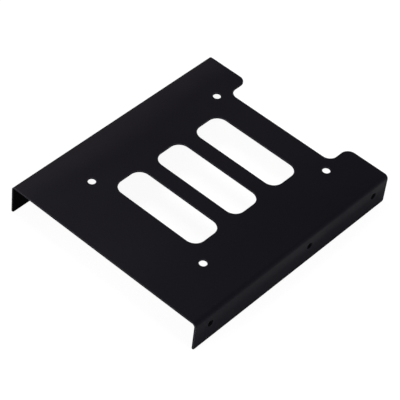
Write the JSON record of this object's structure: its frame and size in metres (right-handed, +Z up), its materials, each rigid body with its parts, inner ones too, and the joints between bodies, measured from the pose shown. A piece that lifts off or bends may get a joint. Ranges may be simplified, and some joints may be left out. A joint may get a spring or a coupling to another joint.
{
  "type": "drive bay adapter bracket",
  "caption": "Folded sheet steel bracket with two side flanges, slots and a rear notch, which carries a small drive in the place of a larger one.",
  "frame": {"origin": "on the ground under the middle of the sheet, between the lower edges of the flanges", "axes": "+X across, from one flange to the other; +Y along the flanges, towards the notched end; +Z up, from the flanges' lower edges to the plate"},
  "size_m": [0.1016, 0.1196, 0.015],
  "materials": {
    "coated_steel": "black satin powder coat"
  },
  "bodies": {
    "root": {"adapter_bracket": "coated_steel"}
  },
  "joints": []
}
